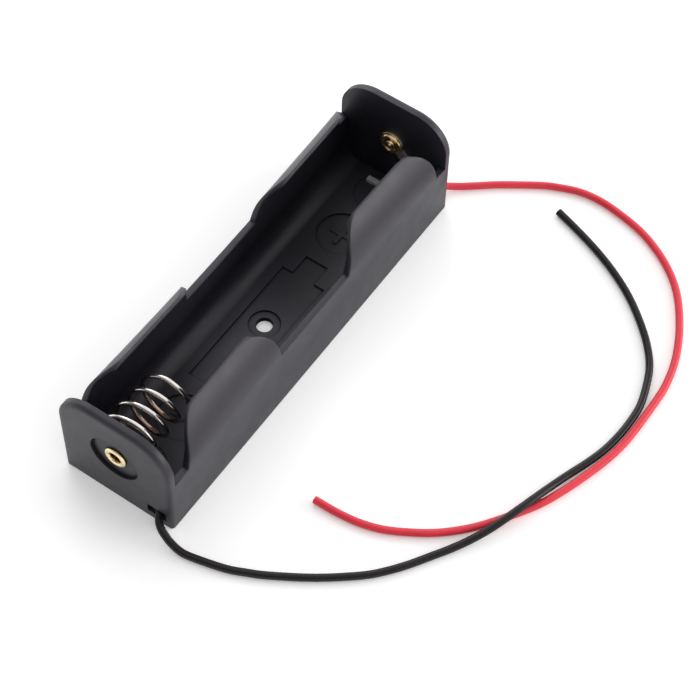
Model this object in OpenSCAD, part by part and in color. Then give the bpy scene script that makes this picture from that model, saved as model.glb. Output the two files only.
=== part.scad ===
// Holder for one round cell, with two wire leads
//
// An open moulded tray keeps the cell between a coil spring (-) and a fixed
// rivet (+).  A lug is clamped behind each contact and a lead is soldered to it.
// X is the width, Y the length towards the + end, Z is up.  The origin is the
// centre of the underside.  Millimetres.

/* [Cell] */
// Diameter of the cell
cell_d = 18.4; // [14:0.1:21]
// Air between the cell and each side wall
cell_gap = 0.1; // [0.05:0.05:0.5]
// Length of the cell
cell_len = 65.2; // [60:0.1:72]
// Extra length of the bay, for the rivet head and the pressed spring
contact_room = 8.8; // [8:0.1:12]

/* [Tray] */
// Thickness of the side walls
wall = 1.2; // [1:0.1:2.4]
// Thickness of the floor
floor_t = 1.5; // [1.2:0.1:2.5]
// Thickness of the end walls
end_wall = 1.5; // [1.3:0.1:3]
// Height of the end walls
end_h = 20.8; // [19:0.1:26]
// Radius of the end walls' top corners
end_corner_r = 6.5; // [3:0.1:8]
// Rounding of the end walls' outer edges
end_edge_r = 0.6; // [0.3:0.1:1.2]
// Height of the cell's axis above the underside
axis_h = 11.2; // [10.8:0.1:12.5]
// Height of the low rim of the side walls
rim_h = 11.3; // [9.5:0.1:13]
// Radius between the floor and the side walls
floor_fillet = 3.5; // [1.5:0.1:5]

/* [Wings] */
// Length of a wing at its foot
wing_len = 24.8; // [18:0.1:28]
// Distance between the middles of the two wings of a wall
wing_pitch = 43.3; // [34:0.1:45]
// How far the wings sit towards the + end
wing_shift = 0.55; // [-1:0.05:1]
// How far round the cell a wing reaches, degrees above the axis
wing_reach = 50; // [35:1:62]
// Lean of a wing's edge facing the - end
lean_minus = 3; // [0:0.1:5]
// Lean of a wing's edge facing the + end
lean_plus = 1.2; // [0:0.1:5]
// Radius of a wing's corners in side view
wing_r = 6; // [2:0.1:7]

/* [Floor details] */
// Diameter of the screw hole
screw_d = 2.8; // [2:0.1:4]
// Diameter of the sunk ring round the screw hole
screw_ring_d = 5.5; // [4.5:0.1:7]
// Depth of the sunk ring
screw_ring_t = 0.6; // [0.4:0.1:1]
// Diameter of the two polarity discs
mark_d = 8.8; // [6:0.1:10]
// Distance between the two polarity discs
mark_pitch = 44.3; // [38:0.1:50]
// Length of the bars in the polarity discs
mark_bar = 4.4; // [3:0.1:5.5]
// Width of the bars in the polarity discs
mark_bar_w = 0.7; // [0.4:0.1:1.2]
// Width of the sunk cell outline
outline_w = 8.4; // [7:0.1:10]
// Length of the sunk cell outline without its button
outline_len = 26; // [20:0.1:28]
// Width of the outline's button
outline_button_w = 4.4; // [3:0.1:6]
// Length of the outline's button
outline_button_len = 4; // [2:0.1:5]
// Depth of the sunk marks
mark_t = 0.3; // [0.1:0.05:0.5]
// Diameter of the ejector discs by the end walls
ejector_d = 8; // [5:0.1:8.4]
// Depth of the ejector discs
ejector_t = 0.15; // [0.05:0.05:0.3]
// Length of the low ribs across the floor near the end walls
rib_len = 7; // [4:0.1:8]
// Thickness of the ribs
rib_t = 1; // [0.6:0.1:1.4]
// Height of the ribs above the floor
rib_h = 0.3; // [0.1:0.05:0.3]
// Distance from a rib's middle to the end wall
rib_in = 2.6; // [1.6:0.1:4]

/* [Contacts] */
// Diameter of the holes in the end walls
contact_hole_d = 2.6; // [2.2:0.1:3.2]
// Air between a contact's shank and its hole, on each side
shank_gap = 0.05; // [0.02:0.01:0.15]
// Diameter of the shallow pocket outside each end wall
pocket_d = 9; // [7:0.1:11]
// Depth of the pocket
pocket_t = 0.6; // [0.4:0.1:0.9]
// Diameter of the rolled flanges
flange_d = 4.1; // [3.8:0.1:5.2]
// Thickness of the rolled flanges
flange_t = 0.5; // [0.3:0.05:0.55]
// Diameter of the hole through the eyelet
eyelet_bore = 2; // [1.2:0.1:2]
// Diameter of the rivet's head
rivet_d = 4.6; // [4:0.1:6]
// Diameter of the raised ring on the rivet's head
rivet_ring_d = 3.9; // [3:0.1:5]
// Height of the rivet's head
rivet_h = 0.7; // [0.5:0.1:1.6]
// Thickness of the lugs
lug_t = 0.3; // [0.2:0.05:0.4]
// Diameter of the lugs round the shank
lug_d = 4.2; // [4:0.1:5.5]
// Width of the lugs' tails
lug_w = 2; // [1.4:0.1:2.6]
// Length of the lugs from the axis to the solder
lug_len = 6.6; // [5.6:0.1:6.9]
// Diameter of the solder
solder_d = 2.2; // [1.8:0.1:2.6]
// Height of the solder
solder_h = 0.8; // [0.6:0.1:1]

/* [Spring] */
// Wire of the spring
wire_d = 0.85; // [0.6:0.05:1]
// Outer diameter of the first coil
coil_d = 9.6; // [7.6:0.1:10]
// Outer diameter of the last coil
coil_tip_d = 8.9; // [6.4:0.1:10]
// Length of the spring from the end wall to its tip
spring_len = 13.3; // [11:0.1:16]
// Open turns
spring_turns = 3.54; // [2.6:0.02:5]
// How far the coils hang to the side of the axis
spring_side = 0.6; // [0:0.1:1]

/* [Leads] */
// Diameter of the leads over their insulation
lead_d = 1.3; // [1:0.05:1.35]
// Diameter of the bare strand inside a lead
strand_d = 0.6; // [0.4:0.05:0.7]
// Width of the lead slots
slot_w = 3.6; // [2.6:0.1:4.2]
// Height of the lead slots
slot_h = 1.9; // [1.8:0.1:2.4]
// How far a slot's channel runs into the bay
slot_run = 3; // [2:0.1:4]

/* [Hidden] */
$fn = 96;

bay_r = cell_d / 2 + cell_gap;
tray_r = bay_r + wall;
bay_half = (cell_len + contact_room) / 2;
tray_half = bay_half + end_wall;
wing_top = axis_h + tray_r * sin(wing_reach);
shank_d = contact_hole_d - 2 * shank_gap;
slot_x = bay_r - slot_w / 2;
strand_z = floor_t + 0.9;
eye_r = shank_d / 2 + 0.5;
coil_r = (coil_d - wire_d) / 2;
lug_angle = -46;
big = 100;

// ---------- outlines ----------

// Outside of the tray across its length, without the rim cut
module outer_section() {
    translate([-tray_r, 0]) square([2 * tray_r, axis_h]);
    intersection() {
        translate([0, axis_h]) circle(tray_r);
        translate([-big / 2, axis_h]) square([big, big / 2]);
    }
}

// The bay across its length: round above the axis, flat floor with filleted corners below
module bay_section() {
    translate([-bay_r, floor_t + floor_fillet]) square([2 * bay_r, axis_h - floor_t - floor_fillet]);
    translate([-(bay_r - floor_fillet), floor_t]) square([2 * (bay_r - floor_fillet), axis_h - floor_t]);
    for (side = [-1, 1])
        translate([side * (bay_r - floor_fillet), floor_t + floor_fillet]) circle(floor_fillet);
    intersection() {
        translate([0, axis_h]) circle(bay_r);
        translate([-big / 2, axis_h]) square([big, big / 2]);
    }
}

// Everything above the wings' rims, which are cut towards the cell's axis
module above_wings() {
    translate([0, axis_h])
        polygon([[0, 0], [big * cos(wing_reach), big * sin(wing_reach)], [0, 2 * big],
                 [-big * cos(wing_reach), big * sin(wing_reach)]]);
}

// Side view of one wing, standing on the low rim and running along +X
module wing_outline() {
    h = wing_top - rim_h;
    tilt_a = atan(lean_minus / h);
    tilt_b = atan(lean_plus / h);
    ca = [wing_r / cos(tilt_a) + (h - wing_r) * tan(tilt_a), h - wing_r];
    cb = [wing_len - wing_r / cos(tilt_b) - (h - wing_r) * tan(tilt_b), h - wing_r];
    steps = 16;
    polygon(concat(
        [[wing_len, 0], [0, 0]],
        [for (i = [0 : steps]) let (a = 180 - tilt_a - (90 - tilt_a) * i / steps)
            ca + wing_r * [cos(a), sin(a)]],
        [for (i = [0 : steps]) let (a = 90 - (90 - tilt_b) * i / steps) cb + wing_r * [cos(a), sin(a)]]));
}

// ---------- tray ----------

module trough() {
    translate([0, bay_half, 0]) rotate([90, 0, 0]) linear_extrude(2 * bay_half)
        intersection() {
            difference() { outer_section(); bay_section(); }
            translate([-big / 2, 0]) square([big, rim_h]);
        }
}

// The two wings that share one stretch of the tray's length
module wing_pair(mid) {
    intersection() {
        translate([0, mid + wing_len / 2 + 1, 0]) rotate([90, 0, 0]) linear_extrude(wing_len + 2)
            difference() {
                intersection() {
                    difference() { outer_section(); bay_section(); }
                    translate([-big / 2, rim_h]) square([big, big]);
                }
                above_wings();
            }
        translate([-big / 2, mid - wing_len / 2, rim_h]) rotate([90, 0, 90])
            linear_extrude(big) wing_outline();
    }
}

// Thickness of an end wall with its outer edge rounded: depth along X, height along Y
module edge_profile(h) {
    square([end_wall - end_edge_r, h]);
    square([end_wall, h - end_edge_r]);
    translate([end_wall - end_edge_r, h - end_edge_r]) circle(end_edge_r);
}

// One end wall, inner face at y = 0, outer face towards +Y
module end_plate() {
    flat = tray_r - end_corner_r;
    // middle, up to the top edge
    translate([-flat, 0, 0]) rotate([90, 0, 90]) linear_extrude(2 * flat) edge_profile(end_h);
    for (side = [0, 1]) mirror([side, 0, 0]) {
        // side strip, up to the corner
        translate([flat, 0, 0]) linear_extrude(end_h - end_corner_r)
            mirror([1, -1]) edge_profile(end_corner_r);
        // round corner
        translate([flat, 0, end_h - end_corner_r]) rotate([-90, 0, 0]) rotate([0, 0, -90])
            rotate_extrude(angle = 90) mirror([1, -1]) edge_profile(end_corner_r);
    }
}

// Low rib across the floor, on which the cell's end rests
module rest_rib() {
    translate([-rib_len / 2, -rib_t / 2, floor_t - 0.3]) cube([rib_len, rib_t, rib_h + 0.3]);
}

module polarity_disc(plus) {
    difference() {
        cylinder(h = mark_t + 1, d = mark_d);
        translate([0, 0, -0.5]) linear_extrude(mark_t * 0.6 + 0.5) {
            square([mark_bar, mark_bar_w], center = true);
            if (plus) square([mark_bar_w, mark_bar], center = true);
        }
    }
}

module cell_outline() {
    translate([-outline_w / 2, -outline_len / 2 - 2, 0]) cube([outline_w, outline_len, mark_t + 1]);
    translate([-outline_button_w / 2, outline_len / 2 - 3, 0])
        cube([outline_button_w, outline_button_len + 1, mark_t + 1]);
}

module floor_marks() {
    translate([0, 0, -1]) cylinder(h = floor_t + 2, d = screw_d);
    translate([0, 0, floor_t - screw_ring_t]) cylinder(h = screw_ring_t + 1, d = screw_ring_d);
    translate([0, 0, floor_t - mark_t]) {
        cell_outline();
        translate([0, mark_pitch / 2, 0]) polarity_disc(true);
        translate([0, -mark_pitch / 2, 0]) polarity_disc(false);
    }
    for (end = [-1, 1])
        translate([0, end * (bay_half - ejector_d / 2 - 0.4), floor_t - ejector_t])
            cylinder(h = 1, d = ejector_d);
}

// Pocket, contact hole and lead slot of the end wall at +Y
module end_openings() {
    translate([0, bay_half - 1, axis_h]) rotate([-90, 0, 0]) cylinder(h = end_wall + 2, d = contact_hole_d);
    translate([0, tray_half - pocket_t, axis_h]) rotate([-90, 0, 0]) cylinder(h = pocket_t + 1, d = pocket_d);
    translate([slot_x - slot_w / 2, bay_half - slot_run, floor_t])
        cube([slot_w, slot_run + end_wall + 1, slot_h]);
}

module tray() {
    color([0.12, 0.12, 0.13])
    difference() {
        union() {
            trough();
            wing_pair(wing_shift - wing_pitch / 2);
            wing_pair(wing_shift + wing_pitch / 2);
            for (end = [0, 1]) mirror([0, end, 0]) {
                translate([0, bay_half, 0]) end_plate();
                translate([0.9, bay_half - rib_in, 0]) rest_rib();
            }
        }
        floor_marks();
        for (end = [0, 1]) mirror([0, end, 0]) end_openings();
    }
}

// ---------- contacts ----------
// Each is drawn with its axis along Z: z = 0 on the inner face of the end wall, +z outwards.

module at_minus_end() { translate([0, -bay_half, axis_h]) rotate([90, 0, 0]) children(); }
module at_plus_end() { translate([0, bay_half, axis_h]) rotate([-90, 0, 0]) children(); }

// Rolled flange seen in half section, from the shank outwards
module flange_section() {
    translate([shank_d / 2 - 0.2, 0]) square([(flange_d - shank_d - flange_t) / 2 + 0.2, flange_t]);
    translate([(flange_d - flange_t) / 2, flange_t / 2]) circle(flange_t / 2);
}

module negative_eyelet() {
    inner = lug_t + wire_d + 0.12;
    color([0.83, 0.70, 0.38]) at_minus_end() {
        rotate_extrude() {
            translate([eyelet_bore / 2, -inner - flange_t])
                square([(shank_d - eyelet_bore) / 2, inner + flange_t + end_wall - pocket_t + flange_t]);
            translate([0, end_wall - pocket_t]) flange_section();
            translate([0, -inner - flange_t]) flange_section();
        }
    }
}

// A flat base on the lug, a raised ring in front of it, and a low button in the ring's dish
module positive_rivet() {
    base = 0.3 * rivet_h;
    lip = 0.45 * rivet_h;
    dish_r = rivet_ring_d / 2 - 0.55;
    button_h = 0.6 * lip;
    ball = (dish_r * dish_r * 0.49 + button_h * button_h) / (2 * button_h);
    tail = end_wall - pocket_t + flange_t;
    color([0.83, 0.62, 0.25]) at_plus_end() {
        difference() {
            union() {
                rotate_extrude() {
                    translate([0, -lug_t - base]) square([rivet_d / 2, base]);
                    translate([0, -lug_t - rivet_h]) square([rivet_ring_d / 2 - lip / 2, rivet_h]);
                    translate([0, -lug_t - rivet_h + lip / 2]) square([rivet_ring_d / 2, rivet_h - lip / 2]);
                    translate([rivet_ring_d / 2 - lip / 2, -lug_t - rivet_h + lip / 2]) circle(lip / 2);
                }
                translate([0, 0, -lug_t - 0.1]) cylinder(h = lug_t + 0.1 + tail, d = shank_d);
                translate([0, 0, end_wall - pocket_t]) rotate_extrude() flange_section();
            }
            translate([0, 0, -lug_t - rivet_h - 1]) cylinder(h = 1 + lip, r1 = dish_r + 0.3, r2 = dish_r);
            translate([0, 0, tail - 1]) cylinder(h = 2, d = eyelet_bore);
        }
        translate([0, 0, -lug_t - rivet_h + lip + 0.02]) intersection() {
            translate([0, 0, ball - button_h]) sphere(ball);
            translate([0, 0, -button_h]) cylinder(h = button_h + 0.05, r = dish_r);
        }
    }
}

// Flat lug lying on the inner face: a ring round the shank and a tail to the solder
module lug_plate() {
    difference() {
        union() {
            cylinder(h = lug_t, d = lug_d);
            translate([0, -lug_w / 2, 0]) cube([lug_len, lug_w, lug_t]);
            translate([lug_len, 0, 0]) cylinder(h = lug_t, d = lug_w);
        }
        translate([0, 0, -1]) cylinder(h = lug_t + 2, d = contact_hole_d);
    }
}

// Places a lug so that its tail points down towards the lead slot at either end
module lug_at(end) {
    translate([0, end * bay_half, axis_h]) rotate([0, -lug_angle, 0]) rotate([90 * end, 0, 0]) children();
}

module negative_lug() { color([0.74, 0.74, 0.72]) lug_at(-1) lug_plate(); }
module positive_lug() { color([0.74, 0.74, 0.72]) lug_at(1) lug_plate(); }

// Solder on the lug's end, with the bare strand running down the wall and back into the lead
module solder_joint(end) {
    top = [lug_len * cos(lug_angle), axis_h + lug_len * sin(lug_angle)];
    hug = lug_t + 0.35;
    a = [top[0], hug, top[1]];
    b = [slot_x - 0.6, hug, strand_z + 1.5];
    c = [slot_x, strand_inset() + 0.6, strand_z + 0.6];
    d = [slot_x, strand_inset(), strand_z];
    mirror([0, end > 0 ? 0 : 1, 0]) translate([0, bay_half, 0]) mirror([0, 1, 0]) {
        translate([top[0], lug_t, top[1]]) rotate([-90, 0, 0]) intersection() {
            translate([0, 0, solder_h - solder_ball()]) sphere(solder_ball());
            cylinder(h = 2 * solder_h, d = solder_d + 1);
        }
        strand_piece(a, b);
        strand_piece(b, c);
        strand_piece(c, d);
        for (p = [b, c]) translate(p) sphere(d = strand_d + 0.1);
    }
}
function solder_ball() = (solder_d * solder_d / 4 + solder_h * solder_h) / (2 * solder_h);
function strand_inset() = lug_t + 1.2;

// Round strand between two points
module strand_piece(p, q) {
    d = q - p;
    translate(p) rotate([0, acos(d[2] / norm(d)), atan2(d[1], d[0])]) cylinder(h = norm(d), d = strand_d);
}

module negative_solder() { color([0.70, 0.70, 0.70]) solder_joint(-1); }
module positive_solder() { color([0.70, 0.70, 0.70]) solder_joint(1); }

// ---------- swept wires ----------

// Closed tube of radius r through a list of points, one ring of n corners at each
module tube(points, r, n = 8) {
    last = len(points) - 1;
    way = [for (i = [0 : last]) unit(points[min(i + 1, last)] - points[max(i - 1, 0)])];
    rings = [for (i = [0 : last]) let (s = unit(cross(way[i], side_hint(way[i]))), u = cross(s, way[i]))
        for (k = [0 : n - 1]) points[i] + r * (cos(360 * (k + 0.5) / n) * s + sin(360 * (k + 0.5) / n) * u)];
    polyhedron(
        points = rings,
        faces = concat(
            [[for (k = [0 : n - 1]) k]],
            [for (i = [0 : last - 1]) for (k = [0 : n - 1]) let (m = (k + 1) % n)
                each [[i * n + k, (i + 1) * n + k, (i + 1) * n + m], [i * n + k, (i + 1) * n + m, i * n + m]]],
            [[for (k = [n - 1 : -1 : 0]) last * n + k]]));
}
function unit(v) = v / norm(v);
// A direction that is never along the wire: the coil's axis for the spring, up for a lead
function side_hint(v) = abs(v[2]) > 0.9 ? [1, 0, 0] : [0, 0, 1];

// ---------- spring ----------
// The wire starts as an eye round the eyelet, opens into the coils and ends in a flat turn.
coil_steps = 24;
eye_turns = 0.9;
open_in_turns = 0.6;
tip_turns = 0.33;
all_turns = eye_turns + open_in_turns + spring_turns + tip_turns;
spring_start = 104;
eye_y = lug_t + 0.05 + wire_d / 2;
tip_y = spring_len - wire_d / 2;
rise_y = 0.9 * wire_d;

function ease(t) = let (u = max(0, min(1, t))) u * u * (3 - 2 * u);
function opened(t) = ease((t - eye_turns) / open_in_turns);
function coil_radius(t) = eye_r + opened(t) * (coil_r - eye_r
    - (coil_d - coil_tip_d) / 2 * max(0, t - eye_turns - open_in_turns) / (spring_turns + tip_turns));
function coil_y(t) =
    t < eye_turns ? eye_y + 0.05 * t / eye_turns :
    t < eye_turns + open_in_turns ? eye_y + 0.05 + rise_y * pow(opened(t), 3) :
    t < all_turns - tip_turns ?
        eye_y + 0.05 + rise_y + (tip_y - eye_y - 0.05 - rise_y - 0.35) *
            (t - eye_turns - open_in_turns) / spring_turns :
    tip_y - 0.35 * (all_turns - t) / tip_turns;

module contact_spring() {
    wire = [for (i = [0 : round(all_turns * coil_steps)])
        let (t = i / coil_steps, a = spring_start - 360 * t)
        [coil_radius(t) * cos(a) - spring_side * opened(t), coil_y(t), coil_radius(t) * sin(a)]];
    color([0.80, 0.78, 0.74]) translate([0, -bay_half, axis_h]) coil_tube(wire, wire_d / 2);
}

// Tube for a wire wound round the Y axis: its rings always lean on that axis
module coil_tube(points, r, n = 8) {
    last = len(points) - 1;
    way = [for (i = [0 : last]) unit(points[min(i + 1, last)] - points[max(i - 1, 0)])];
    rings = [for (i = [0 : last]) let (s = unit(cross(way[i], [0, 1, 0])), u = cross(s, way[i]))
        for (k = [0 : n - 1]) points[i] + r * (cos(360 * k / n) * s + sin(360 * k / n) * u)];
    polyhedron(
        points = rings,
        faces = concat(
            [[for (k = [0 : n - 1]) k]],
            [for (i = [0 : last - 1]) for (k = [0 : n - 1]) let (m = (k + 1) % n)
                each [[i * n + k, (i + 1) * n + k, (i + 1) * n + m], [i * n + k, (i + 1) * n + m, i * n + m]]],
            [[for (k = [n - 1 : -1 : 0]) last * n + k]]));
}

// ---------- leads ----------
// Route points are [x, y, lift, follow]: lift is the height above lying on the table, and
// follow says how much of the point's place moves with the tray's end and its slot.
route_half = 38.5;
route_slot = 7.5;
black_route = [
    [7.8, -38.25, 1.55, 1], [8.5, -39.3, 1.25, 1], [9.45, -40.05, 0.95, 1], [10.6, -40.5, 0.6, 1],
    [12, -40.9, 0.3, 1], [14.1, -41.15, 0.1, 1], [16.5, -40.75, 0, 1], [21.25, -39.5, 0, 0.8],
    [24.3, -38.2, 0, 0.6], [27.35, -36.65, 0, 0.4], [33.4, -32.85, 0, 0.1], [38.8, -28.6, 0, 0],
    [41.35, -25.95, 0, 0], [43.6, -23, 0, 0], [45.65, -19.8, 0, 0], [47.55, -16.8, 0.05, 0],
    [49.2, -13.95, 0.3, 0], [50.7, -11, 0.8, 0], [51.9, -8, 1.25, 0], [52.9, -4.95, 1.4, 0],
    [53.75, -1.75, 1.1, 0], [54.5, 1.35, 0.5, 0], [55.45, 4.65, 0.1, 0], [56.65, 8.05, 0, 0],
    [57.65, 11.4, 0, 0], [58.25, 14.95, 0, 0], [58.45, 18.55, 0, 0], [58.25, 22.15, 0, 0],
    [57.25, 25.85, 0, 0], [55.65, 29.75, 0, 0], [53.1, 33.25, 0, 0], [49.95, 36.4, 0, 0],
    [46.1, 39.55, 0, 0], [41.85, 42.2, 0, 0], [37.2, 44.45, 0, 0], [32.3, 46.3, 0, 0],
    [27.2, 47.95, 0, 0]];
red_route = [
    [7.4, 38.6, 1.4, 1], [7.85, 40, 1, 1], [8.95, 41.4, 0.4, 1], [10.75, 42.9, 0.1, 1],
    [13.25, 45, 0, 1], [15.95, 47.15, 0, 1], [21.7, 51.05, 0, 0.9], [24.8, 52.6, 0, 0.9],
    [28.2, 53.8, 0, 0.8], [31.9, 54.1, 0, 0.7], [36.1, 53.6, 0, 0.6], [40.55, 52.55, 0, 0.5],
    [44.2, 51, 0, 0.4], [47.5, 49.05, 0, 0.3], [50.5, 46.6, 0, 0.2], [52.95, 43.8, 0, 0.1],
    [55.15, 40.45, 0, 0], [57, 36.95, 0, 0], [58.5, 33.2, 0, 0], [59.45, 29.35, 0, 0],
    [59.85, 25.55, 0, 0], [59.85, 17.85, 0, 0], [59.55, 13.75, 0, 0], [58.75, 9.7, 0, 0],
    [57.55, 5.55, 0, 0], [56.15, 1.45, 0, 0], [54.6, -2.2, 0, 0], [52.8, -5.3, 0, 0],
    [50.9, -8.2, 0, 0], [48.95, -10.95, 0, 0], [46.55, -13.65, 0, 0], [43.8, -16.1, 0, 0],
    [40.65, -18.2, 0, 0], [37.1, -20.1, 0, 0], [33.35, -21.25, 0, 0], [29.4, -21.75, 0, 0],
    [25.45, -21.85, 0, 0]];

// A route in space for the end wall at y = end * tray_half, from the bare strand outwards
function lead_points(route, end) = concat(
    [[slot_x, end * (bay_half - strand_inset()), strand_z], [slot_x, end * bay_half, strand_z]],
    [for (p = route) [p[0] + p[3] * (slot_x - route_slot), p[1] + end * p[3] * (tray_half - route_half),
                      lead_d / 2 + p[2]]]);

module black_lead() { color([0.13, 0.12, 0.13]) tube(lead_points(black_route, -1), lead_d / 2); }
module red_lead() { color([0.85, 0.12, 0.16]) tube(lead_points(red_route, 1), lead_d / 2); }

tray();
contact_spring();
negative_eyelet();
negative_lug();
negative_solder();
positive_rivet();
positive_lug();
positive_solder();
black_lead();
red_lead();
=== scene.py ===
from math import cos, sin, radians, pi
import bpy
import bmesh
from mathutils import Matrix, Vector


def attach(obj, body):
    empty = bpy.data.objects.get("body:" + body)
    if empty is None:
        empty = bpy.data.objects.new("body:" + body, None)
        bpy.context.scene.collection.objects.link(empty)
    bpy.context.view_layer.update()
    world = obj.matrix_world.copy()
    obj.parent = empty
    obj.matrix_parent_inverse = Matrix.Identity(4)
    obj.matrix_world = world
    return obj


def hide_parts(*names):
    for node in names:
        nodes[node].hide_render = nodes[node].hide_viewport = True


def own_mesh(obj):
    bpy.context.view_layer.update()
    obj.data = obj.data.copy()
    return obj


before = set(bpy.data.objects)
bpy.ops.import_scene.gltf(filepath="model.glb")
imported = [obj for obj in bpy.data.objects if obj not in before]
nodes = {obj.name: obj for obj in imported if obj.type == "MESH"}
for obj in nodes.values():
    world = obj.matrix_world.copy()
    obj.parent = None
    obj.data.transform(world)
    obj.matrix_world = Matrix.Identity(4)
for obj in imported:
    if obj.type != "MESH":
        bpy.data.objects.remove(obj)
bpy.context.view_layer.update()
scene = bpy.context.scene
MM = 0.001

# Sizes of the CAD model that several pieces share, in metres
AXIS_H = 11.2 * MM                      # height of the cell's and the contacts' axis over the underside
BAY_HALF = 37.0 * MM                    # from mid length to an end wall's inner face
TRAY_R = 10.5 * MM                      # outside of the side walls, round the axis
WALL = 1.2 * MM                         # thickness of the side walls

# ---------------------------------------------------------------- camera
AZ, EL, ROLL = radians(33.109), radians(56.729), radians(-1.820)
FRAME_PX, FOCAL_PX = 700, 2080.315
DIST = 341.616 * MM                     # depth of the tray's bottom centre in front of the camera
ORIGIN_PX = (264.576, 328.036)          # where that centre falls in the frame
SENSOR_MM = 36.0


def make_camera():
    back = Vector((sin(AZ) * cos(EL), -cos(AZ) * cos(EL), sin(EL)))
    right = Vector((cos(AZ), sin(AZ), 0.0))
    level = Matrix((right, back.cross(right), back))
    roll = Matrix(((cos(ROLL), -sin(ROLL), 0), (sin(ROLL), cos(ROLL), 0), (0, 0, 1)))
    turn = (roll @ level).transposed()
    off_x = (ORIGIN_PX[0] - FRAME_PX / 2) * DIST / FOCAL_PX
    off_y = -(ORIGIN_PX[1] - FRAME_PX / 2) * DIST / FOCAL_PX
    data = bpy.data.cameras.new("camera")
    data.sensor_width = SENSOR_MM
    data.lens = FOCAL_PX / FRAME_PX * SENSOR_MM
    data.clip_start = 10 * MM
    cam = bpy.data.objects.new("camera", data)
    place = turn.to_4x4()
    place.translation = turn @ Vector((-off_x, -off_y, DIST))
    cam.matrix_world = place
    scene.collection.objects.link(cam)
    scene.camera = cam


make_camera()

# ---------------------------------------------------------------- leads
# Routes in millimetres, the same points as in the CAD source. Past the exit, the third number is how far the
# lead is lifted off the table.
LEAD_R = 0.65
BLACK = [(7.5, -35.5, 2.4), (7.5, -37, 2.4)] + [(x, y, LEAD_R + lift) for x, y, lift in [
    (7.8, -38.25, 1.55), (8.5, -39.3, 1.25), (9.45, -40.05, 0.95), (10.6, -40.5, 0.6),
    (12, -40.9, 0.3), (14.1, -41.15, 0.1), (16.5, -40.75, 0), (21.25, -39.5, 0), (24.3, -38.2, 0),
    (27.35, -36.65, 0), (33.4, -32.85, 0), (38.8, -28.6, 0), (41.35, -25.95, 0), (43.6, -23, 0),
    (45.65, -19.8, 0), (47.55, -16.8, 0.05), (49.2, -13.95, 0.3), (50.7, -11, 0.8),
    (51.9, -8, 1.25), (52.9, -4.95, 1.4), (53.75, -1.75, 1.1), (54.5, 1.35, 0.5),
    (55.45, 4.65, 0.1), (56.65, 8.05, 0), (57.65, 11.4, 0), (58.25, 14.95, 0), (58.45, 18.55, 0),
    (58.25, 22.15, 0), (57.25, 25.85, 0), (55.65, 29.75, 0), (53.1, 33.25, 0), (49.95, 36.4, 0),
    (46.1, 39.55, 0), (41.85, 42.2, 0), (37.2, 44.45, 0), (32.3, 46.3, 0), (27.2, 47.95, 0)]]
RED = [(7.5, 35.5, 2.4), (7.5, 37, 2.4)] + [(x, y, LEAD_R + lift) for x, y, lift in [
    (7.4, 38.6, 1.4), (7.85, 40, 1), (8.95, 41.4, 0.4), (10.75, 42.9, 0.1), (13.25, 45, 0),
    (15.95, 47.15, 0), (21.7, 51.05, 0), (24.8, 52.6, 0), (28.2, 53.8, 0), (31.9, 54.1, 0),
    (36.1, 53.6, 0), (40.55, 52.55, 0), (44.2, 51, 0), (47.5, 49.05, 0), (50.5, 46.6, 0),
    (52.95, 43.8, 0), (55.15, 40.45, 0), (57, 36.95, 0), (58.5, 33.2, 0), (59.45, 29.35, 0),
    (59.85, 25.55, 0), (59.85, 17.85, 0), (59.55, 13.75, 0), (58.75, 9.7, 0), (57.55, 5.55, 0),
    (56.15, 1.45, 0), (54.6, -2.2, 0), (52.8, -5.3, 0), (50.9, -8.2, 0), (48.95, -10.95, 0),
    (46.55, -13.65, 0), (43.8, -16.1, 0), (40.65, -18.2, 0), (37.1, -20.1, 0), (33.35, -21.25, 0),
    (29.4, -21.75, 0), (25.45, -21.85, 0)]]


def smooth_route(points, each=4):
    """Points on a Catmull-Rom curve through the route, in metres."""
    p = [Vector(q) * MM for q in points]
    p = [2 * p[0] - p[1]] + p + [2 * p[-1] - p[-2]]
    out = []
    for a, b, c, d in zip(p, p[1:], p[2:], p[3:]):
        for i in range(each):
            t = i / each
            out.append(0.5 * (2 * b + (c - a) * t + (2 * a - 5 * b + 4 * c - d) * t * t
                              + (3 * b - a - 3 * c + d) * t ** 3))
    out.append(p[-2])
    return out


def lead(name, points, material, node):
    line = smooth_route(points)
    curve = bpy.data.curves.new(name, "CURVE")
    curve.dimensions = "3D"
    curve.bevel_depth = LEAD_R * MM
    curve.bevel_resolution = 6
    curve.use_fill_caps = True
    spline = curve.splines.new("POLY")
    spline.points.add(len(line) - 1)
    for spline_point, q in zip(spline.points, line):
        spline_point.co = (*q, 1.0)
    spline.use_smooth = True
    obj = bpy.data.objects.new(name, curve)
    scene.collection.objects.link(obj)
    curve.materials.append(material)
    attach(obj, "holder")
    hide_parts(node)


# ---------------------------------------------------------------- node helpers
def new_material(name):
    mat = bpy.data.materials.new(name)
    mat.use_nodes = True
    nt = mat.node_tree
    nt.nodes.clear()
    out = nt.nodes.new("ShaderNodeOutputMaterial")
    bsdf = nt.nodes.new("ShaderNodeBsdfPrincipled")
    nt.links.new(bsdf.outputs[0], out.inputs[0])
    coord = nt.nodes.new("ShaderNodeTexCoord")
    return mat, nt, bsdf, coord


def noise(nt, coord, scale, detail=4.0):
    n = nt.nodes.new("ShaderNodeTexNoise")
    n.inputs["Scale"].default_value = scale
    n.inputs["Detail"].default_value = detail
    nt.links.new(coord.outputs["Object"], n.inputs["Vector"])
    return n.outputs["Fac"]


def blend(nt, fac, dark, light, src=(0.3, 0.7)):
    """Colour that goes from dark to light as fac goes through src."""
    n = nt.nodes.new("ShaderNodeValToRGB")
    nt.links.new(fac, n.inputs[0])
    for stop, at, colour in zip(n.color_ramp.elements, src, (dark, light)):
        stop.position = at
        stop.color = (*colour, 1)
    return n.outputs[0]


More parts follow.
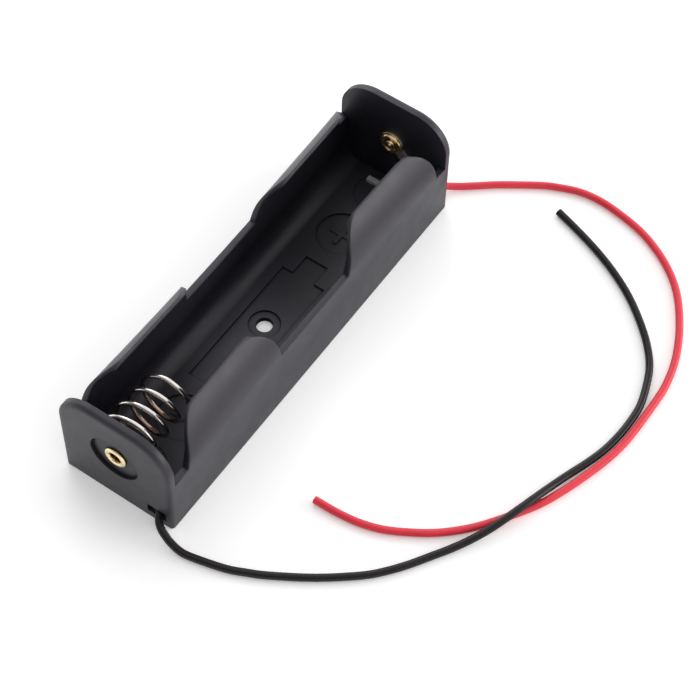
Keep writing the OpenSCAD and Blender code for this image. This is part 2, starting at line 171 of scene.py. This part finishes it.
def to_range(nt, fac, lo, hi, src=(0.3, 0.7)):
    """Value that goes from lo to hi as fac goes through src, and stays there beyond it."""
    n = nt.nodes.new("ShaderNodeMapRange")
    n.inputs["From Min"].default_value, n.inputs["From Max"].default_value = src
    n.inputs["To Min"].default_value, n.inputs["To Max"].default_value = lo, hi
    nt.links.new(fac, n.inputs["Value"])
    return n.outputs[0]


def calc(nt, op, a, b=0.0):
    n = nt.nodes.new("ShaderNodeMath")
    n.operation = op
    for socket, v in zip(n.inputs, (a, b)):
        if isinstance(v, (int, float)):
            socket.default_value = v
        else:
            nt.links.new(v, socket)
    return n.outputs[0]


def split_xyz(nt, vector):
    n = nt.nodes.new("ShaderNodeSeparateXYZ")
    nt.links.new(vector, n.inputs[0])
    return n.outputs[:3]


def distance(nt, a, b):
    return calc(nt, "SQRT", calc(nt, "ADD", calc(nt, "MULTIPLY", a, a), calc(nt, "MULTIPLY", b, b)))


def openness(nt, reach, only_local=False):
    """1 in the open, and less where other surfaces are within reach."""
    n = nt.nodes.new("ShaderNodeAmbientOcclusion")
    n.samples = 8
    n.only_local = only_local
    n.inputs["Distance"].default_value = reach
    return n.outputs["AO"]


def bump(nt, bsdf, height, depth, strength, rounding=None):
    n = nt.nodes.new("ShaderNodeBump")
    n.inputs["Strength"].default_value = strength
    n.inputs["Distance"].default_value = depth
    nt.links.new(height, n.inputs["Height"])
    if rounding:
        bevel = nt.nodes.new("ShaderNodeBevel")
        bevel.samples = 6
        nt.links.new(rounding, bevel.inputs["Radius"])
        nt.links.new(bevel.outputs[0], n.inputs["Normal"])
    nt.links.new(n.outputs[0], bsdf.inputs["Normal"])


# ---------------------------------------------------------------- materials
OUTLINE_ROUNDING = 1.1 * MM                    # on the outer half of an end wall's outline
WING_ROUNDING, FLOOR_ROUNDING = 0.55 * MM, 0.06 * MM
INNER_END_SHARE = 0.4                          # of the wings' rounding, left on the end walls' inner edges
SCREW_HOLE_R = 1.4 * MM
GROOVE_SHADE_LEVEL, SHEEN = 0.06, 1.0                        # specular levels: painted shade deep in grooves, and in the open


def edge_radius(nt, coord):
    """Broad rounding on the end walls' outline, soft wing edges, crisp marks in the floor."""
    x, y, z = (calc(nt, "ABSOLUTE", part) for part in split_xyz(nt, coord.outputs["Object"]))
    outer_half = to_range(nt, y, 0, 1, (37.2 * MM, 37.8 * MM))
    top, side = to_range(nt, z, 0, 1, (16.5 * MM, 17.5 * MM)), to_range(nt, x, 0, 1, (7 * MM, 8 * MM))
    over_foot = to_range(nt, z, 0, 1, (0.5 * MM, 2 * MM))
    outline = calc(nt, "MULTIPLY", calc(nt, "MAXIMUM", top, side), over_foot)
    broad = calc(nt, "MULTIPLY", calc(nt, "MULTIPLY", outer_half, outline), OUTLINE_ROUNDING)
    soft = to_range(nt, z, FLOOR_ROUNDING, WING_ROUNDING, (3.5 * MM, 6 * MM))
    soft = calc(nt, "MULTIPLY", soft, to_range(nt, y, 1, INNER_END_SHARE, (35 * MM, 35.8 * MM)))
    return calc(nt, "ADD", broad, soft)


def plastic():
    mat, nt, bsdf, coord = new_material("tray_plastic")
    colour = blend(nt, noise(nt, coord, 60.0, 3.0), (0.0140, 0.0130, 0.0195), (0.0185, 0.0172, 0.0242))
    nt.links.new(colour, bsdf.inputs["Base Color"])
    nt.links.new(to_range(nt, noise(nt, coord, 300.0), 0.39, 0.46), bsdf.inputs["Roughness"])
    bsdf.inputs["IOR"].default_value = 1.33
    bsdf.inputs["Specular Tint"].default_value = (0.975, 0.94, 1.0, 1)
    # used by the export, which drops the link below
    bsdf.inputs["Specular IOR Level"].default_value = SHEEN     # the level in the open; the link below sets it in the render
    # Painted shade: the specular level falls in grooves and creases, so that they read darker.
    gloss_with_groove_shade = to_range(nt, openness(nt, 0.7 * MM, only_local=True), GROOVE_SHADE_LEVEL, SHEEN, (0.55, 0.95))
    off_hole = distance(nt, *split_xyz(nt, coord.outputs["Object"])[:2])
    # Painted shade: next to no specular level on the screw hole's wall, so that it reads dark.
    hole_painted_shade = to_range(nt, off_hole, 0.02, 1, (SCREW_HOLE_R + 0.02 * MM, SCREW_HOLE_R + 0.1 * MM))
    nt.links.new(calc(nt, "MULTIPLY", gloss_with_groove_shade, hole_painted_shade), bsdf.inputs["Specular IOR Level"])
    bump(nt, bsdf, noise(nt, coord, 2600.0, 2.0), 0.03 * MM, 0.35, edge_radius(nt, coord))
    return mat


def insulation(name, dark, light, rough, specular):
    mat, nt, bsdf, coord = new_material(name)
    bsdf.inputs["Specular IOR Level"].default_value = specular
    nt.links.new(blend(nt, noise(nt, coord, 220.0), dark, light), bsdf.inputs["Base Color"])
    nt.links.new(to_range(nt, noise(nt, coord, 900.0), rough - 0.04, rough + 0.06), bsdf.inputs["Roughness"])
    bump(nt, bsdf, noise(nt, coord, 3000.0, 2.0), 0.02 * MM, 0.3)
    return mat


def brown_groove_shade(colour, src):
    """Painted shade: a coat in grooves and hollows, fading out as the openness goes through src."""
    return colour, lambda nt, coord: to_range(nt, openness(nt, 1.2 * MM), 1, 0, src)


def bore_painted_shade(colour, src):
    """Painted shade: a coat inside a bore on the contacts' axis, fading out through the radii in src."""
    def mask(nt, coord):
        x, _, z = split_xyz(nt, coord.outputs["Object"])
        return to_range(nt, distance(nt, x, calc(nt, "SUBTRACT", z, AXIS_H)), 1, 0, src)
    return colour, mask


def lower_painted_reflection(colour, src):
    """Painted reflection: a brown coat on the lower part of a piece, fading out through the heights in src with an
    uneven edge.
    """
    def mask(nt, coord):
        wave = calc(nt, "MULTIPLY", noise(nt, coord, 350.0), 3 * MM)
        return to_range(nt, calc(nt, "ADD", split_xyz(nt, coord.outputs["Object"])[2], wave), 1, 0, src)
    return colour, mask


def metal(name, dark, light, rough, *painted_coats):
    mat, nt, bsdf, coord = new_material(name)
    tone = blend(nt, noise(nt, coord, 400.0), dark, light)
    # The coats are painted shade and painted reflections over the metal's tone.
    for colour, mask in painted_coats:
        mixed = nt.nodes.new("ShaderNodeMix")
        mixed.data_type = "RGBA"
        mixed.inputs["B"].default_value = (*colour, 1)
        nt.links.new(mask(nt, coord), mixed.inputs["Factor"])
        nt.links.new(tone, mixed.inputs["A"])
        tone = mixed.outputs["Result"]
    nt.links.new(tone, bsdf.inputs["Base Color"])
    bsdf.inputs["Metallic"].default_value = 1.0
    nt.links.new(to_range(nt, noise(nt, coord, 700.0), rough - 0.05, rough + 0.08), bsdf.inputs["Roughness"])
    bump(nt, bsdf, noise(nt, coord, 2100.0, 3.0), 0.02 * MM, 0.3)
    return mat


TRAY = plastic()
# Painted highlight: a pale grey for the plus end's rest rib, so that it reads lit; the minus end's rib keeps the
# tray's plastic.
PALE_RIB_PAINTED_HIGHLIGHT = insulation("rib_painted_highlight", (0.36, 0.36, 0.37), (0.52, 0.52, 0.53), 0.45, 0.5)
BLACK_LEAD = insulation("black_insulation", (0.009, 0.0065, 0.007), (0.015, 0.011, 0.012), 0.26, 0.28)
RED_LEAD = insulation("red_insulation", (0.72, 0.022, 0.045), (0.82, 0.035, 0.060), 0.40, 0.5)
# The brasses' brown coats in grooves and in the eyelet's bore are painted shade.
BRASS = metal("brass", (0.95, 0.64, 0.30), (1.0, 0.80, 0.48), 0.24, brown_groove_shade((0.55, 0.28, 0.08), (0.15, 0.50)))
BRASS_PALE = metal("brass_pale", (0.90, 0.74, 0.42), (0.99, 0.87, 0.58), 0.22,
                   brown_groove_shade((0.22, 0.10, 0.02), (0.42, 0.80)),
                   bore_painted_shade((0.32, 0.18, 0.045), (1.08 * MM, 1.20 * MM)))
# The spring's brown lower side is a painted reflection.
NICKEL = metal("nickel", (0.74, 0.69, 0.65), (0.90, 0.86, 0.83), 0.17,
               lower_painted_reflection((0.36, 0.24, 0.17), (8.5 * MM, 12.5 * MM)))
TIN = metal("tin", (0.78, 0.75, 0.68), (0.92, 0.89, 0.82), 0.42)
SOLDER = metal("solder", (0.60, 0.60, 0.60), (0.75, 0.75, 0.74), 0.30)

lead("black_wire", BLACK, BLACK_LEAD, "black_lead")
lead("red_wire", RED, RED_LEAD, "red_lead")


# ---------------------------------------------------------------- mesh helpers
SMALL_CREASE = 50                        # degrees, for the ribs and the turned pieces


def new_piece(name, mesh, mat, slot, *replaced):
    obj = bpy.data.objects.new(name, mesh)
    scene.collection.objects.link(obj)
    mesh.materials.clear()
    mesh.materials.append(mat)
    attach(obj, "holder")
    if replaced:
        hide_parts(*replaced)
    return obj


def closed_mesh(name, verts, faces, crease=None):
    """Mesh with outward normals: smooth up to the crease angle or, without one, smooth on its quads only."""
    me = bpy.data.meshes.new(name)
    me.from_pydata(verts, [], faces)
    bm = bmesh.new()
    bm.from_mesh(me)
    bmesh.ops.recalc_face_normals(bm, faces=bm.faces)
    for f in bm.faces:
        f.smooth = crease is not None or len(f.verts) == 4
    if crease is not None:
        for e in bm.edges:
            e.smooth = len(e.link_faces) == 2 and e.calc_face_angle(0) < radians(crease)
    bm.to_mesh(me)
    bm.free()
    return me


def clamp(t, lo=0.0):
    return max(lo, min(1.0, t))


def ease(t):
    t = clamp(t)
    return t * t * (3 - 2 * t)


# ---------------------------------------------------------------- tray
BOW = 0.75 * MM                          # the side walls draw inwards, most at the rim in mid length
BOW_FROM = 0.5 * MM                      # height at which the bow starts
FLOOR_TOP = 3.0 * MM                     # below this height the bow fades from the walls to the floor's middle
FLOOR_STILL, FLOOR_BOWED = 4.0 * MM, 8.0 * MM         # half widths of the floor that don't move and that do
THIN = 0.6 * MM                          # how much the wings thin out towards their rims
THIN_FROM, THIN_FULL = 0.1, 0.65         # heights over the axis, as shares of the radius, for the thinning
END_CLEAR = 0.5 * MM                     # gap to the end walls, which keep their form
WING_R = 6.0 * MM                        # radius of the wings' corners in side view
WING_RISE = 8.043 * MM                   # height of the wings' rims over the axis
WING_ARCS = ((-27.0 * MM, -15.2 * MM), (16.3 * MM, 28.1 * MM))       # where each wing's two corners begin
SLICE = 2 * MM                           # the mesh is cut at steps of this length, so that it can bend
TRAY_CREASE = 28                         # degrees; flatter edges are shaded smooth
SAME_PLANE = 0.999995                    # cosine between the normals of faces in one flat region


def corner_rise(y):
    """Height of a wing's rounded outline over the axis, as a share of its full height."""
    past = min(max(0.0, lo - y, y - hi) for lo, hi in WING_ARCS)
    drop = WING_R - (WING_R ** 2 - min(past, WING_R) ** 2) ** 0.5
    return max(1 - WALL / TRAY_R, 1 - drop / WING_RISE)


def moulded(p):
    """Where a point of the straight tray lies on the moulded one."""
    x, y, z = p
    rise = z - AXIS_H
    r = (x * x + rise * rise) ** 0.5
    on_wing = rise > 0 and r > 0.5 * TRAY_R and abs(y) < BAY_HALF - END_CLEAR
    if on_wing:
        inside = clamp((TRAY_R - r) / WALL)
        if x > 0:                        # the corners of these wings are cut square to the wall
            rise *= 1 - (1 - corner_rise(y)) * inside
            x = (r * r - rise * rise) ** 0.5
        high = ease((rise / r - THIN_FROM) / (THIN_FULL - THIN_FROM))
        grow = 1 + THIN * high * inside / r
        x, z = x * grow, AXIS_H + rise * grow
    along = max(0.0, 1 - (y / BAY_HALF) ** 2)
    up = ease((z - BOW_FROM) / (AXIS_H - BOW_FROM))
    out = ease((abs(x) - FLOOR_STILL) / (FLOOR_BOWED - FLOOR_STILL)) if z < FLOOR_TOP else 1.0
    x -= BOW * along * up * out * clamp(x / TRAY_R, -1.0)
    return Vector((x, y, z))


def flat_regions(bm):
    """The flat region each face belongs to, by number, and the regions' areas."""
    number, areas = {}, []
    for seed in bm.faces:
        if seed in number:
            continue
        k, todo, total = len(areas), [seed], 0.0
        number[seed] = k
        while todo:
            f = todo.pop()
            total += f.calc_area()
            for e in f.edges:
                for g in e.link_faces:
                    if g not in number and g.normal.dot(f.normal) > SAME_PLANE:
                        number[g] = k
                        todo.append(g)
        areas.append(total)
    return number, areas


def corner_normals(bm, degrees):
    """Normals that keep flat faces flat and curved ones smooth, one per face corner."""
    number, areas = flat_regions(bm)
    limit = cos(radians(degrees))
    out = []
    for f in bm.faces:
        f.smooth = True
        for loop in f.loops:
            v, fan, todo = loop.vert, {f}, [f]
            while todo:
                g = todo.pop()
                for e in g.edges:
                    if v in e.verts:
                        for h in e.link_faces:
                            if h not in fan and h.normal.dot(g.normal) > limit:
                                fan.add(h)
                                todo.append(h)
            n = Vector()
            for k, g in {number[g]: g for g in fan}.items():
                n += g.normal * areas[k]
            out.append((v.index, n.normalized()))
    return out


def tray_piece():
    """The CAD tray's mesh, bent into its moulded form, with its normals bent along."""
    bm = bmesh.new()
    bm.from_mesh(nodes["tray"].data)
    bmesh.ops.remove_doubles(bm, verts=bm.verts, dist=1e-6)
    slices = int(BAY_HALF / SLICE)
    for k in range(-slices, slices + 1):
        bmesh.ops.bisect_plane(bm, geom=bm.verts[:] + bm.edges[:] + bm.faces[:], dist=1e-7,
                               plane_co=(0, k * SLICE, 0), plane_no=(0, 1, 0))
    bm.verts.index_update()
    bm.normal_update()
    corners = corner_normals(bm, TRAY_CREASE)
    nudge = 0.01 * MM
    turn = []
    for v in bm.verts:
        p = v.co.copy()
        here = moulded(p)
        cols = [(moulded(p + Vector([nudge * (a == b) for b in range(3)])) - here) / nudge for a in range(3)]
        turn.append(Matrix(cols).inverted_safe())          # inverse transpose of the columns
        v.co = here
    normals = [(turn[k] @ n).normalized() for k, n in corners]
    me = bpy.data.meshes.new("tray_moulding")
    bm.to_mesh(me)
    bm.free()
    me.normals_split_custom_set([tuple(n) for n in normals])
    new_piece("tray_moulding", me, TRAY, "black_plastic", "tray")


# Section of a rest rib: distance from its middle and height over the underside, in millimetres
RIB_SECTION = [(-0.55, 1.2), (-0.55, 1.95), (-0.46, 2.1), (-0.25, 2.18), (0.25, 2.18), (0.46, 2.1), (0.55, 1.95),
               (0.55, 1.2)]
RIB_ENDS, RIB_Y = (-3.0, 4.4), 34.4


def rest_rib(name, y, mat):
    """Low rib with a rounded top across the floor, on which the cell's end rests."""
    verts = [(x * MM, (y + a) * MM, z * MM) for x in RIB_ENDS for a, z in RIB_SECTION]
    n = len(RIB_SECTION)
    faces = [tuple(range(n)), tuple(range(n, 2 * n))]
    faces += [(k, (k + 1) % n, n + (k + 1) % n, n + k) for k in range(n)]
    new_piece(name, closed_mesh(name, verts, faces, SMALL_CREASE), mat, "black_plastic")


tray_piece()
rest_rib("rest_rib_plus", RIB_Y, PALE_RIB_PAINTED_HIGHLIGHT)
rest_rib("rest_rib_minus", -RIB_Y, TRAY)

# ---------------------------------------------------------------- spring
# Sizes in millimetres, as in the CAD source; SIDE is how far the coils stand off the contacts' axis.
WIRE_D, COIL_D, COIL_TIP_D, SPRING_LEN, SIDE = 0.85, 9.6, 8.9, 13.3, 0.6
LUG_T, SHANK_D = 0.3, 2.5
EYE_TURNS, OPEN_TURNS, TURNS, TIP_TURNS = 0.9, 0.6, 3.54, 0.33
ALL_TURNS = EYE_TURNS + OPEN_TURNS + TURNS + TIP_TURNS
START = 104.0                            # degrees round the axis, where the eye begins
EYE_CLEAR, EYE_GAP, EYE_LIFT, TIP_LIFT = 0.5, 0.05, 0.05, 0.35
OPEN_RISE = 0.9                          # wire diameters that the wire climbs while the eye opens into the coil
STEPS_PER_TURN, WIRE_SIDES = 36, 16
CUT_LENGTH, CUT_SHARE = 0.08, 0.75       # length of the wire's narrowed ends, and their share of its thickness


def wire_point(t):
    """Middle of the wire after t turns, counted from the eye under the eyelet."""
    opened = ease((t - EYE_TURNS) / OPEN_TURNS)
    eye_r, coil_r = SHANK_D / 2 + EYE_CLEAR, (COIL_D - WIRE_D) / 2
    eye_y, tip_y, rise = LUG_T + EYE_GAP + WIRE_D / 2, SPRING_LEN - WIRE_D / 2, OPEN_RISE * WIRE_D
    coil_y = eye_y + EYE_LIFT + rise
    free = max(0.0, t - EYE_TURNS - OPEN_TURNS)
    r = eye_r + opened * (coil_r - eye_r - (COIL_D - COIL_TIP_D) / 2 * free / (TURNS + TIP_TURNS))
    if t < EYE_TURNS:
        y = eye_y + EYE_LIFT * t / EYE_TURNS
    elif t < EYE_TURNS + OPEN_TURNS:
        y = eye_y + EYE_LIFT + rise * opened ** 3
    elif t < ALL_TURNS - TIP_TURNS:
        y = coil_y + (tip_y - coil_y - TIP_LIFT) * free / TURNS
    else:
        y = tip_y - TIP_LIFT * (ALL_TURNS - t) / TIP_TURNS
    a = radians(START - 360 * t)
    return Vector((r * cos(a) - SIDE * opened, y, r * sin(a))) * MM + Vector((0, -BAY_HALF, AXIS_H))


def swept_tube(points, radius, sides, hint):
    """Tube through points, narrower at its two end points."""
    verts, faces = [], []
    last = len(points) - 1
    for i, p in enumerate(points):
        d = (points[min(i + 1, last)] - points[max(i - 1, 0)]).normalized()
        s = d.cross(hint).normalized()
        u = s.cross(d)
        r = radius * (CUT_SHARE if i in (0, last) else 1)
        for k in range(sides):
            a = 2 * pi * k / sides
            verts.append(p + r * (cos(a) * s + sin(a) * u))
    for i in range(last):
        for k in range(sides):
            m = (k + 1) % sides
            faces.append((i * sides + k, i * sides + m, (i + 1) * sides + m, (i + 1) * sides + k))
    faces.append(tuple(range(sides))[::-1])
    faces.append(tuple(last * sides + k for k in range(sides)))
    return verts, faces


def spring_piece():
    steps = int(round(ALL_TURNS * STEPS_PER_TURN))
    line = [wire_point(ALL_TURNS * i / steps) for i in range(steps + 1)]
    start, end = (line[0] - line[1]).normalized(), (line[-1] - line[-2]).normalized()
    line = [line[0] + start * CUT_LENGTH * MM] + line + [line[-1] + end * CUT_LENGTH * MM]
    verts, faces = swept_tube(line, WIRE_D / 2 * MM, WIRE_SIDES, Vector((0, 1, 0)))
    obj = new_piece("spring_wire", closed_mesh("spring_wire", verts, faces), NICKEL, "nickel", "contact_spring")
    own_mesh(obj)


spring_piece()


# ---------------------------------------------------------------- eyelet, rivet, lugs and solder
ROUND_SIDES, PETALS = 72, 6
PETAL_FOOT, PETAL_RIM = 1.5, 1.0         # radii between which the petals grow to their full size
ROLL_FROM = 0.9                          # height at which the outer roll starts


def turned(name, profile, end, mat, node, petals=0.0):
    """Closed half section (radius, height) turned about a contact's axis.

    Heights run outwards from the end wall's inner face, in millimetres. With petals, the mouth of the outer
    roll goes in and out by that much."""
    verts, faces, rings = [], [], []
    for r, h in profile:
        y = end * (BAY_HALF + h * MM)
        if r == 0:
            rings.append([len(verts)])
            verts.append((0.0, y, AXIS_H))
            continue
        rings.append(list(range(len(verts), len(verts) + ROUND_SIDES)))
        for k in range(ROUND_SIDES):
            a = 2 * pi * k / ROUND_SIDES
            grown = ease((PETAL_FOOT - r) / (PETAL_FOOT - PETAL_RIM)) if h > ROLL_FROM else 0.0
            q = r + petals * cos(PETALS * a) * grown
            verts.append((q * cos(a) * MM, y, AXIS_H + q * sin(a) * MM))
    pairs = list(zip(rings, rings[1:]))
    if len(rings[0]) > 1:
        pairs.append((rings[-1], rings[0]))
    for a, b in pairs:
        for k in range(ROUND_SIDES):
            m = (k + 1) % ROUND_SIDES
            if len(a) == 1:
                faces.append((a[0], b[k], b[m]))
            elif len(b) == 1:
                faces.append((a[k], b[0], a[m]))
            else:
                faces.append((a[k], b[k], b[m], a[m]))
    new_piece(name, closed_mesh(name, verts, faces, SMALL_CREASE), mat, "brass", node)


SHANK_END = [(1.25, ROLL_FROM)]
OUTER_ROLL = [(1.9, ROLL_FROM), (2.0, 0.94), (2.05, 1.06), (2.0, 1.22), (1.88, 1.34), (1.7, 1.41), (1.5, 1.43),
              (1.32, 1.39), (1.2, 1.29), (1.13, 1.14), (1.1, 0.95)]
INNER_ROLL = [(1.1, -1.6), (1.13, -1.68), (1.24, -1.75), (1.5, -1.77), (1.8, -1.74), (1.98, -1.62), (2.05, -1.45),
              (2.0, -1.32), (1.9, -1.27)]
BUTTON = [(0, -1.42), (0.28, -1.38), (0.52, -1.27), (0.71, -1.1), (0.83, -0.88), (0.9, -0.66), (1.0, -0.5)]
RING = [(1.14, -0.5), (1.22, -0.72), (1.31, -0.87), (1.44, -0.97), (1.58, -1.0), (1.73, -0.96), (1.86, -0.86),
        (1.94, -0.72), (1.96, -0.56), (1.97, -0.51)]
BASE = [(2.2, -0.5), (2.27, -0.46), (2.3, -0.4), (2.27, -0.33), (2.2, -0.3), (1.25, -0.3)]
BLIND_BORE = [(1.1, 0.4), (0, 0.4)]
turned("eyelet", [(1.25, -1.27)] + SHANK_END + OUTER_ROLL + INNER_ROLL, -1, BRASS_PALE, "negative_eyelet",
       petals=0.08)
turned("rivet", BUTTON + RING + BASE + SHANK_END + OUTER_ROLL + BLIND_BORE, 1, BRASS, "positive_rivet")

for node, mat in (("negative_lug", TIN), ("positive_lug", TIN),
                  ("negative_solder", SOLDER), ("positive_solder", SOLDER)):
    nodes[node].data.materials.clear()
    nodes[node].data.materials.append(mat)

# ---------------------------------------------------------------- floor and light
FLOOR_HALF = 1.5                         # half the side of the square floor, in metres
GLOW_SEEN, GLOW_CAMERA = 0.14, 0.08      # the floor's own light: for all rays that see it, and more for the camera
SKY_AXIS = Vector((0.15, 0.62, 0.75))    # towards the bright part of the sky
SKY_DARK, SKY_LIGHT, HORIZON = 0.15, 1.0, 1.0         # strengths away from that part, in it, and added near the floor


def floor_material():
    """White where it is seen, and a little darker for the light that it throws back."""
    mat, nt, bsdf, _ = new_material("floor")
    bsdf.inputs["Roughness"].default_value = 0.95
    bsdf.inputs["Specular IOR Level"].default_value = 0.0
    ray = nt.nodes.new("ShaderNodeLightPath").outputs
    camera = ray["Is Camera Ray"]
    seen = calc(nt, "MAXIMUM", calc(nt, "MAXIMUM", camera, ray["Is Glossy Ray"]), ray["Is Transmission Ray"])
    nt.links.new(blend(nt, seen, (0.8, 0.8, 0.8), (1, 1, 1), (0, 1)), bsdf.inputs["Base Color"])
    glow = nt.nodes.new("ShaderNodeEmission")
    glow.inputs["Color"].default_value = (1, 1, 1, 1)
    level = calc(nt, "ADD", calc(nt, "MULTIPLY", seen, GLOW_SEEN), calc(nt, "MULTIPLY", camera, GLOW_CAMERA))
    nt.links.new(level, glow.inputs["Strength"])
    both = nt.nodes.new("ShaderNodeAddShader")
    nt.links.new(bsdf.outputs[0], both.inputs[0])
    nt.links.new(glow.outputs[0], both.inputs[1])
    out = [n for n in nt.nodes if n.bl_idname == "ShaderNodeOutputMaterial"][0]
    nt.links.new(both.outputs[0], out.inputs[0])
    return mat


def make_floor():
    me = bpy.data.meshes.new("floor")
    me.from_pydata([(x * FLOOR_HALF, y * FLOOR_HALF, 0) for x, y in ((-1, -1), (1, -1), (1, 1), (-1, 1))],
                   [], [(0, 1, 2, 3)])
    me.materials.append(floor_material())
    floor = bpy.data.objects.new("floor", me)
    scene.collection.objects.link(floor)
    floor.location.z = -0.1 * MM


def area_light(name, at, size, power):
    """Rectangular lamp at a place, turned towards the tray."""
    data = bpy.data.lights.new(name, "AREA")
    data.shape = "RECTANGLE"
    data.size, data.size_y = size
    data.energy = power
    lamp = bpy.data.objects.new(name, data)
    scene.collection.objects.link(lamp)
    lamp.location = at
    lamp.rotation_euler = (-Vector(at)).to_track_quat("-Z", "Y").to_euler()


def make_sky():
    """Soft sky, bright above the far side and along the horizon, and darker on the camera's side."""
    world = bpy.data.worlds.new("world")
    world.use_nodes = True
    nt = world.node_tree
    background = nt.nodes["Background"]
    background.inputs[0].default_value = (1, 1, 1, 1)
    direction = nt.nodes.new("ShaderNodeTexCoord").outputs["Generated"]
    dot = nt.nodes.new("ShaderNodeVectorMath")
    dot.operation = "DOT_PRODUCT"
    dot.inputs[1].default_value = SKY_AXIS.normalized()
    nt.links.new(direction, dot.inputs[0])
    high = to_range(nt, dot.outputs["Value"], SKY_DARK, SKY_LIGHT, (0.0, 0.80))
    low = to_range(nt, split_xyz(nt, direction)[2], HORIZON, 0, (0.24, 0.40))
    nt.links.new(calc(nt, "ADD", high, low), background.inputs[1])
    scene.world = world


make_floor()
area_light("key", (-0.55, 0.45, 0.55), (0.5, 0.5), 1.8)
area_light("side", (0.85, 0.62, 0.34), (0.9, 0.42), 4.3)
make_sky()
scene.view_settings.view_transform = "Standard"
